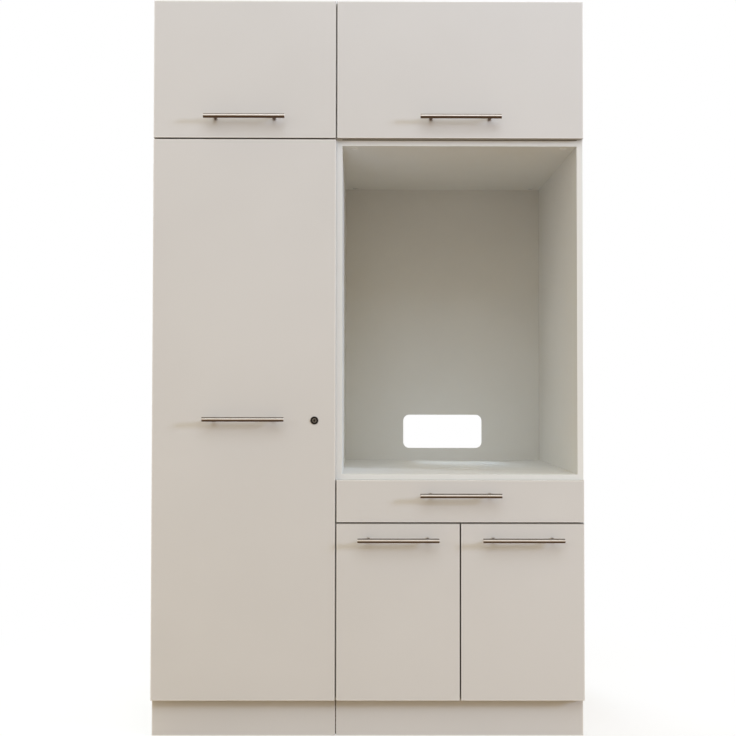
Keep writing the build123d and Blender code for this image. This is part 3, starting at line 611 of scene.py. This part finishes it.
nailed_decks = ("tall_bottom", "tall_fixed_shelf", "tall_top", "wide_bottom", "niche_floor",
                "niche_ceiling", "upper_bottoms", "upper_tops")
decks = [deck for node in nailed_decks for deck in solids_of(node)]
nail_rows = []
for back in ("tall_backs", "wide_lower_back", "niche_back", "upper_backs"):
    for low, high in solids_of(back):
        rear = high[1]
        for x in (low[0] + nail_inset, high[0] - nail_inset):
            nail_rows.append(nail_row((x, rear, low[2] + end_margin), (x, rear, high[2] - end_margin)))
        for deck_low, deck_high in decks:
            z = (deck_low[2] + deck_high[2]) / 2
            if low[0] < deck_low[0] < high[0] and low[2] - nail_inset < z < high[2] + nail_inset:
                z = np.clip(z, low[2] + nail_inset, high[2] - nail_inset)
                start, end = deck_low[0] + end_margin, deck_high[0] - end_margin
                nail_rows.append(nail_row((start, rear, z), (end, rear, z)))
nails = set_down(turned(nail_profile, 10), np.concatenate(nail_rows), (0.0, 1.0, 0.0), 0.3)
finish_piece("back_nails", nails, "root", blued)


# Cup hinges. Pressed steel cups and arms on cross plates, nickel plated, with two screws in each
# cup's wings and each plate's wings, and two adjusting screws in the arm.

cup_wing_inset = 0.026
cup_wing_screws = 0.0235
cup_face = 0.001
plate_screw_depth = 0.037
plate_screws = 0.018
plate_face = 0.002
arm_face = 0.012
arm_screw_depths = (0.036, 0.064)
door_overlay = 0.0145
flap_overlay = 0.016
tall_end, tall_share, door_end, flap_end = 0.100, 0.42, 0.092, 0.092

nickel = metal("nickel_plate", nickel_tone, nickel_other, 0.18, 0.34, (240.0, 240.0, 240.0), size=40.0)
dress(nickel, "hinge_arms", "hinge_plates", "left_door_hinge_cups", "right_door_hinge_cups",
      "tall_door_hinge_cups", "left_flap_fittings", "right_flap_fittings")
wing_screw, wing_sunk = cross_head(radius=0.0036, rise=0.0012, recess=0.0011)
adjuster, adjuster_sunk = cross_head(radius=0.0029, rise=0.0009, recess=0.0010)
front_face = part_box("tall_door")[0].y
plate_parts, plate_depths = [], []


def hinge_screws(front, body, seats, into, along, overlay):
    """Screws of one front's hinges. into points from the hinged edge into the front, and along is
    the pin's line; each screw lies at an inset along into, a depth along +Y and a shift along."""
    low, high = (np.array(corner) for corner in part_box(front))
    into, along = np.array(into, float), np.array(along, float)
    start = np.where(into + along > 0, low, high)
    start[1] = low[1]
    start = start * (1 - np.abs(along))
    bases = [start + along * seat for seat in seats]
    cup_y = front_back - front_face + cup_face
    wings = [base + into * cup_wing_inset + along * side * cup_wing_screws + (0.0, cup_y, 0.0)
             for base in bases for side in (-1, 1)]
    heads = set_down(wing_screw, wings, (0.0, 1.0, 0.0), 0.9)
    finish_piece(front + "_cup_screws", heads, body, nickel_screw, wing_sunk)
    plate_y = carcass_front - front_face + plate_screw_depth
    plates = [base + into * (overlay + plate_face) + along * side * plate_screws + (0.0, plate_y, 0.0)
              for base in bases for side in (-1, 1)]
    arms = [base + into * (overlay + arm_face) + (0.0, depth, 0.0)
            for base in bases for depth in arm_screw_depths]
    plate_parts.append(set_down(wing_screw, plates, into, 1.3))
    plate_depths.append(np.tile(wing_sunk, len(plates)))
    plate_parts.append(set_down(adjuster, arms, into, 0.5))
    plate_depths.append(np.tile(adjuster_sunk, len(arms)))


tall_low, tall_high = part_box("tall_door")
door_low, door_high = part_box("left_door")
tall_seats = (tall_low.z + tall_end, tall_high.z - tall_end,
              tall_low.z + tall_share * (tall_high.z - tall_low.z))
door_seats = (door_low.z + door_end, door_high.z - door_end)
hinge_screws("tall_door", "tall_door", tall_seats, (1, 0, 0), (0, 0, 1), door_overlay)
hinge_screws("left_door", "left_door", door_seats, (1, 0, 0), (0, 0, 1), door_overlay)
hinge_screws("right_door", "right_door", door_seats, (-1, 0, 0), (0, 0, 1), door_overlay)
for flap in ("left_flap", "right_flap"):
    flap_low, flap_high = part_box(flap)
    flap_seats = (flap_low.x + flap_end, flap_high.x - flap_end)
    hinge_screws(flap, flap, flap_seats, (0, 0, -1), (1, 0, 0), flap_overlay)
finish_piece("hinge_plate_screws", together(*plate_parts), "root", nickel_screw,
             np.concatenate(plate_depths))


# Gas struts. A polished rod slides in a black enamelled tube with a rolled bead and a rubber seal
# at its mouth, and both ends turn on steel studs in brackets that are screwed down.

strut_stud = (-0.294, 1.948)
strut_foot = (-0.150, 1.848)
strut_beside = 0.010
bead_reach = 0.1175
mouth_reach = 0.1254
foot_plate = 0.002
foot_screws = 0.0062
angle_inset = 0.029
angle_screws = 0.0065

rod_tone = (0.740, 0.740, 0.735, 1.0)
rod_other = (0.640, 0.640, 0.640, 1.0)
enamel_tone = (0.016, 0.016, 0.017, 1.0)
enamel_other = (0.030, 0.029, 0.028, 1.0)
enamel_worn = (0.210, 0.200, 0.190, 1.0)
rubber_tone = (0.012, 0.012, 0.012, 1.0)
rubber_other = (0.028, 0.027, 0.026, 1.0)
dress(metal("polished_rod", rod_tone, rod_other, 0.08, 0.16, (30.0, 900.0, 900.0)),
      "left_strut_rods", "right_strut_rods")
enamel, tree, shader = new_finish("black_enamel", Specular_IOR_Level=0.6, Coat_Weight=0.5,
                                  Coat_Roughness=0.12)
colour = use(tree, tone_drift, Tone=enamel_tone, Other=enamel_other, Scale=60.0)["Colour"]
worn = use(tree, scuffs, Amount=0.5)["Scuff"]
skin = use(tree, pearl_skin, Grain=500.0)
rough = maths(tree, "MULTIPLY_ADD", skin["Gloss"], 0.1, 0.22)
rough = maths(tree, "MULTIPLY_ADD", worn, 0.3, rough)
feed(tree, shader, tint(tree, worn, colour, enamel_worn), rough, skin["Height"], 0.00001)
dress(enamel, "left_strut_tubes", "right_strut_tubes")
dress(nickel, "strut_foot_brackets")


def moulded(label, tone, other, size, grain, smooth, gloss, depth, **fixed):
    """Plastic, rubber or paint: two tones in clouds under a pearled skin of the given grain and
    depth, whose roughness lies between smooth and smooth + gloss."""
    finish, tree, shader = new_finish(label, **fixed)
    colour = use(tree, tone_drift, Tone=tone, Other=other, Scale=size)["Colour"]
    skin = use(tree, pearl_skin, Grain=grain)
    feed(tree, shader, colour, maths(tree, "MULTIPLY_ADD", skin["Gloss"], gloss, smooth),
         skin["Height"], depth)
    return finish


rubber = moulded("seal_rubber", rubber_tone, rubber_other, 220.0, 1600.0, 0.55, 0.12, 0.00001,
                 Specular_IOR_Level=0.3)
bead_angle = np.linspace(0.0, math.tau, 9)[:-1]
bead_profile = np.stack([0.0073 + 0.0008 * np.cos(bead_angle), 0.0012 * np.sin(bead_angle)], axis=-1)
seal_profile = [(0.0031, 0.0), (0.0062, 0.0), (0.0068, 0.0004), (0.0064, 0.0014), (0.0050, 0.0022),
                (0.0034, 0.0025), (0.0031, 0.0022)]
strut_run = np.array(strut_stud) - np.array(strut_foot)
strut_run /= np.linalg.norm(strut_run)
bracket_screw, bracket_sunk = cross_head(radius=0.0026, rise=0.0010, recess=0.0009)
foot_parts = []
for side, near_board, far_board in (("left", "tall_side_left", "tall_side_right"),
                                    ("right", "wide_side_left", "wide_side_right")):
    boards = ((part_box(near_board)[1].x, 1), (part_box(far_board)[0].x, -1))
    beads, mouths, angles = [], [], []
    for x, inward in boards:
        for reach, seats in ((bead_reach, beads), (mouth_reach, mouths)):
            y, z = np.array(strut_foot) + reach * strut_run
            seats.append((x + inward * strut_beside, y, z))
        for end in (-1, 1):
            foot = (x + inward * foot_plate, strut_foot[0], strut_foot[1] + end * foot_screws)
            foot_parts.append(set_down(bracket_screw, foot, (inward, 0.0, 0.0)))
            angles.append((x + inward * angle_inset, front_back + foot_plate,
                           strut_stud[1] + end * angle_screws))
    slope = (0.0, strut_run[0], strut_run[1])
    finish_piece(side + "_strut_beads", set_down(turned(bead_profile, 28, closed=True), beads, slope),
                 side + "_tubes", enamel)
    finish_piece(side + "_strut_seals", set_down(turned(seal_profile, 24, closed=True), mouths, slope),
                 side + "_tubes", rubber)
    finish_piece(side + "_flap_angle_screws", set_down(bracket_screw, angles, (0.0, 1.0, 0.0), 0.8),
                 side + "_flap", nickel_screw, bracket_sunk)
finish_piece("strut_plate_screws", together(*foot_parts), "root", nickel_screw,
             bracket_sunk)


# Drawer runners. Three nested channels rolled from zinc-plated steel strip, with the cool spangle
# of the plating and fine lines along the rolling direction.

zinc_tone = (0.690, 0.735, 0.800, 1.0)
zinc_other = (0.620, 0.665, 0.735, 1.0)
zinc_strip = metal("zinc_strip", zinc_tone, zinc_other, 0.30, 0.42, (500.0, 6.0, 500.0), size=110.0,
                   depth=0.0000015)
dress(zinc_strip, "runner_channels", "runner_middles", "runner_rails")


# Cam lock of the tall door. A blackened zinc housing with a rolled rim round a grey key face. A
# painted glint lightens the rim's outer edge in patches. The slot has a raised lip painted near
# black, and painted shade darkens the face round the slot, both standing in for the shade in the
# keyhole. A nut clamps it from behind, and its cam turns behind a screwed steel keeper.

black_tone = (0.008, 0.006, 0.006, 1.0)
black_other = (0.015, 0.012, 0.011, 1.0)
black_painted_glint = (0.190, 0.160, 0.140, 1.0)
key_tone = (0.300, 0.280, 0.265, 1.0)
key_other = (0.170, 0.155, 0.145, 1.0)
key_lip_painted_shade = (0.030, 0.026, 0.024, 1.0)
key_slot = (0.0007, 0.0035)
glint_from, glint_to = 0.0099, 0.0105
slot_shade_full_to, slot_shade_gone_from = 0.0018, 0.0034
keeper_screw_y = -0.2885
keeper_screw_side = 0.007
keeper_plate = 0.002
lock_low, lock_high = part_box("lock_housing")
lock_middle = (lock_low + lock_high) / 2


def from_lock_axis(tree):
    """How far a point lies from the lock's axis, which runs along Y: the length of its offset."""
    offset = vectors(tree, "SUBTRACT", on_object(tree), tuple(lock_middle))
    return put(tree, "VectorMath", {0: vectors(tree, "MULTIPLY", offset, (1.0, 0.0, 1.0))},
               operation="LENGTH").outputs["Value"]


blackened, tree, shader = new_finish("blackened_zinc", Metallic=0.10, Specular_IOR_Level=0.22)
colour = use(tree, tone_drift, Tone=black_tone, Other=black_other, Scale=160.0)["Colour"]
# Painted glint: a lighter tone in patches on the rim's outer edge and beyond.
painted_glint = maths(tree, "MULTIPLY", ramp(tree, from_lock_axis(tree), glint_from, glint_to),
               ramp(tree, noise(tree, on_object(tree), 300.0, 3.0), 0.35, 0.6, 0.1, 0.5))
skin = use(tree, pearl_skin, Grain=1500.0)
feed(tree, shader, tint(tree, painted_glint, colour, black_painted_glint),
     maths(tree, "MULTIPLY_ADD", skin["Gloss"], 0.14, 0.30), skin["Height"], 0.000008)
dress(blackened, "lock_housing")
key_face = metal("key_face", key_tone, key_other, 0.26, 0.42, (1200.0, 40.0, 1200.0), size=200.0)
tree = key_face.node_tree
base = tree.nodes["Principled BSDF"].inputs["Base Color"]
# Painted shade: the face darkens round the key slot, standing in for the shade in the keyhole.
painted_slot_shade = ramp(tree, from_lock_axis(tree), slot_shade_full_to, slot_shade_gone_from, 0.95, 0.0)
tree.links.new(tint(tree, painted_slot_shade, base.links[0].from_socket, painted_hollow_shade), base)
dress(key_face, "lock_plug")
dress(nickel, "lock_nut", "lock_cam", "lock_keeper")
rim_profile = [(0.0088, 0.0), (0.0091, 0.00035), (0.0096, 0.00052), (0.0101, 0.00046), (0.01055, 0.0002),
               (0.0108, -0.0003), (0.0108, -0.0012), (0.0104, -0.0014), (0.0100, -0.0008)]
rim_seat = (lock_middle.x, lock_low.y, lock_middle.z)
finish_piece("lock_rim", set_down(turned(rim_profile, 40, closed=True), rim_seat, (0.0, -1.0, 0.0)),
             "tall_door", blackened)


def slot_lip(half_width, half_height, thick, rise, count):
    """A raised lip round a slot: a half-round ridge of the given thickness and rise, carried round
    a rounded oblong whose point at angle a is the centre of a quarter plus a radius along a."""
    around = np.arange(count) * math.tau / count
    across = np.linspace(0.0, math.pi, 6)
    reach = half_width + thick * (0.5 - 0.5 * np.cos(across))
    height = rise * np.sin(across)
    end_centre = (half_height - half_width) * np.sign(np.round(np.sin(around), 6))
    wide = np.outer(reach, np.cos(around))
    tall = np.outer(reach, np.sin(around)) + end_centre
    points = np.stack([wide, tall, np.repeat(height[:, None], count, 1)], axis=-1).reshape(-1, 3)
    return points, ring_faces(len(across), count, closed=True)


plug_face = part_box("lock_plug")[0].y
lip_seat = (lock_middle.x, plug_face, lock_middle.z)
lip = slot_lip(key_slot[0], key_slot[1], thick=0.0008, rise=0.00025, count=24)
# Painted shade: the lip is near black, so that the slot reads wider and darker.
lip_metal = metal("key_lip_painted_shade", key_lip_painted_shade, black_other, 0.30, 0.42, (900.0, 900.0, 900.0))
finish_piece("lock_slot_lip", set_down(lip, lip_seat, (0.0, -1.0, 0.0)), "lock", lip_metal)
keeper_low, keeper_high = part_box("lock_keeper")
keeper_middle = (keeper_low + keeper_high) / 2
keeper_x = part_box("tall_side_right")[0].x - keeper_plate
keeper_seats = [(keeper_x, keeper_screw_y, keeper_middle.z + end * keeper_screw_side) for end in (-1, 1)]
finish_piece("keeper_screws", set_down(bracket_screw, keeper_seats, (-1.0, 0.0, 0.0), 0.6), "root",
             nickel_screw, bracket_sunk)


# Small fittings. Steel shelf pins, unit connectors with cross recesses, and wall angles with two
# screws each under the tops; domed white caps over the joint cams, and clear pads behind the fronts.

angle_screw_side = 0.009
angle_screw_depth = 0.012
angle_plate = 0.002
cap_tone = (0.880, 0.878, 0.860, 1.0)
cap_other = (0.840, 0.836, 0.815, 1.0)
pad_tone = (0.86, 0.86, 0.83, 1.0)
pad_other = (0.80, 0.79, 0.72, 1.0)

dress(nickel, "shelf_pins", "unit_connectors", "wall_brackets")
connector_screw, connector_sunk = cross_head(radius=0.0064, rise=0.0011, recess=0.0009)
connector_parts = []
for low, high in solids_of("unit_connectors"):
    y, z = (low[1] + high[1]) / 2, (low[2] + high[2]) / 2
    for x, outward in ((low[0], -1.0), (high[0], 1.0)):
        connector_parts.append(set_down(connector_screw, (x, y, z), (outward, 0.0, 0.0)))
finish_piece("connector_heads", together(*connector_parts), "root", nickel_screw,
             connector_sunk)
angle_screw, angle_sunk = cross_head(radius=0.0034, rise=0.0013, recess=0.0011)
angle_seats = [((low[0] + high[0]) / 2 + side * angle_screw_side, low[1] + angle_screw_depth,
                high[2] - angle_plate)
               for low, high in solids_of("wall_brackets") for side in (-1, 1)]
finish_piece("wall_angle_screws", set_down(angle_screw, angle_seats, (0.0, 0.0, -1.0), 0.9), "root",
             nickel_screw, angle_sunk)
cap = moulded("cap_plastic", cap_tone, cap_other, 70.0, 1300.0, 0.24, 0.12, 0.000008,
              Specular_IOR_Level=0.5, Subsurface_Weight=0.08)
dome_profile = [(0.0, 0.0), (0.0090, 0.0), (0.0090, 0.0012), (0.0088, 0.00155), (0.0082, 0.0018),
                (0.0060, 0.0020), (0.0030, 0.0021), (0.0, 0.0021)]
cap_seats = [((low[0] + high[0]) / 2, (low[1] + high[1]) / 2, high[2])
             for low, high in solids_of("cam_caps")]
caps = finish_piece("domed_caps", set_down(turned(dome_profile, 32), cap_seats, (0.0, 0.0, -1.0)), "root",
                    cap)
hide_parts("cam_caps")
pad = moulded("clear_pad", pad_tone, pad_other, 90.0, 1100.0, 0.22, 0.15, 0.00001,
              Transmission_Weight=0.55, IOR=1.45)
pad_profile = [(0.0, 0.0), (0.0040, 0.0), (0.0040, 0.0003), (0.0038, 0.0009), (0.0032, 0.0014),
               (0.0020, 0.00165), (0.0, 0.0017)]
pad_seats = [((low[0] + high[0]) / 2, high[1], (low[2] + high[2]) / 2)
             for low, high in solids_of("door_buffers")]
pads = finish_piece("domed_pads", set_down(turned(pad_profile, 24), pad_seats, (0.0, -1.0, 0.0)), "root",
                    pad)
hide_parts("door_buffers")


# The studio. A round pale floor that fades out in a white surround, which is bright above and warm
# below. Soft lights stand at the right, over the front, at the left, behind and overhead, and the
# camera stands at the picture's angle, a little below the middle of the cabinet.

floor_radius = 3.4
floor_rings = 9
floor_tone = (0.860, 0.850, 0.835, 1.0)
floor_other = (0.890, 0.882, 0.870, 1.0)
floor_bounce = (0.450, 0.360, 0.260, 1.0)
floor_glow = (0.55, 1.0)
glow_reach = (0.3, 1.7)
plain_white = (1.0, 1.0, 1.0, 1.0)
surround_below = (0.406, 0.344, 0.298, 1.0)
surround_above = (0.870, 0.765, 0.535, 1.0)
camera_angles = (-0.292, 1.325, 0.081)
camera_place = (-0.016, -3.320, 0.931)
sensor_width = 36.0
lens_length = 54.06

rings = np.linspace(0.0, floor_radius, floor_rings)
points, faces = turned(np.stack([rings, np.zeros(floor_rings)], axis=-1), 72)
mesh = bpy.data.meshes.new("floor")
mesh.from_pydata(points.tolist(), [], faces.tolist())
close_seams(mesh)
if mesh.polygons[0].normal.z < 0:
    mesh.flip_normals()
floor = bpy.data.objects.new("floor", mesh)
bpy.context.scene.collection.objects.link(floor)
ground = moulded("floor_paint", floor_tone, floor_other, 0.8, 300.0, 0.6, 0.1, 0.00003,
                 Specular_IOR_Level=0.2)
tree = ground.node_tree
paint = tree.nodes["Principled BSDF"].outputs[0]
away = put(tree, "VectorMath", {0: on_object(tree)}, operation="LENGTH").outputs["Value"]
glow = put(tree, "Emission", {"Color": plain_white, "Strength": 1.0}).outputs[0]
faded = put(tree, "MixShader", {0: ramp(tree, away, *glow_reach, *floor_glow), 1: paint, 2: glow})
bounce = put(tree, "BsdfDiffuse", {"Color": floor_bounce})
seen = put(tree, "LightPath").outputs["Is Camera Ray"]
either = put(tree, "MixShader", {0: seen, 1: bounce.outputs[0], 2: faded.outputs[0]})
tree.links.new(either.outputs[0], tree.nodes["Material Output"].inputs["Surface"])
mesh.materials.append(ground)

world = bpy.data.worlds.new("studio")
world.use_nodes = True
tree = world.node_tree
tree.nodes.clear()
upward = put(tree, "SeparateXYZ", {0: put(tree, "TexCoord").outputs["Generated"]}).outputs[2]
surround = tint(tree, ramp(tree, upward, -0.3, 0.7), surround_below, surround_above)
lit = put(tree, "Background", {"Color": surround, "Strength": 1.0})
plain = put(tree, "Background", {"Color": plain_white, "Strength": 1.0})
seen = put(tree, "LightPath").outputs["Is Camera Ray"]
mixed = put(tree, "MixShader", {0: seen, 1: lit.outputs[0], 2: plain.outputs[0]})
tree.links.new(mixed.outputs[0], put(tree, "OutputWorld").inputs["Surface"])
bpy.context.scene.world = world
bpy.context.scene.view_settings.view_transform = "Standard"


def soft_light(label, place, aim, width, height, power, colour):
    """A rectangular soft light at place that faces aim."""
    lamp = bpy.data.lights.new(label, "AREA")
    lamp.shape = "RECTANGLE"
    lamp.size, lamp.size_y = width, height
    lamp.energy = power
    lamp.color = colour
    stand = bpy.data.objects.new(label, lamp)
    bpy.context.scene.collection.objects.link(stand)
    stand.location = place
    away = Vector(aim) - Vector(place)
    stand.rotation_euler = away.to_track_quat("-Z", "Y").to_euler()
    stand.visible_camera = False


soft_light("key", (7.2, -3.5, 2.73), (0.0, -0.35, 1.1), 1.15, 1.15, 327.0, (0.605, 0.729, 1.0))
soft_light("window", (0.4, -4.6, 5.6), (0.0, -0.3, 0.6), 5.0, 3.6, 136.0, (0.655, 0.781, 1.0))
soft_light("left", (-5.0, -4.6, 2.4), (0.0, -0.3, 1.0), 2.4, 2.0, 34.0, (0.93, 0.97, 1.0))
soft_light("side", (-5.6, 2.6, 3.0), (-0.6, 0.4, 0.8), 3.2, 2.6, 52.0, (0.72, 0.86, 1.0))
soft_light("overhead", (0.0, 1.5, 4.8), (0.0, 0.1, 2.0), 2.2, 1.6, 11.0, (0.05, 0.20, 1.0))
soft_light("rear", (-1.6, 4.8, 3.2), (0.0, 0.3, 1.0), 2.4, 2.0, 190.0, (0.62, 0.80, 1.0))

turn, tilt, roll = np.radians(camera_angles)
ahead = np.array((-np.sin(turn) * np.cos(tilt), np.cos(turn) * np.cos(tilt), np.sin(tilt)))
right = np.array((np.cos(turn), np.sin(turn), 0.0))
above = np.cross(right, ahead)
rolled_right = np.cos(roll) * right + np.sin(roll) * above
rolled_above = -np.sin(roll) * right + np.cos(roll) * above
lens = bpy.data.cameras.new("camera")
lens.sensor_width = sensor_width
lens.lens = lens_length
camera = bpy.data.objects.new("camera", lens)
bpy.context.scene.collection.objects.link(camera)
pose = np.eye(4)
pose[:3, :3] = np.stack([rolled_right, rolled_above, -ahead], axis=-1)
pose[:3, 3] = camera_place
camera.matrix_world = Matrix(pose.tolist())
bpy.context.scene.camera = camera
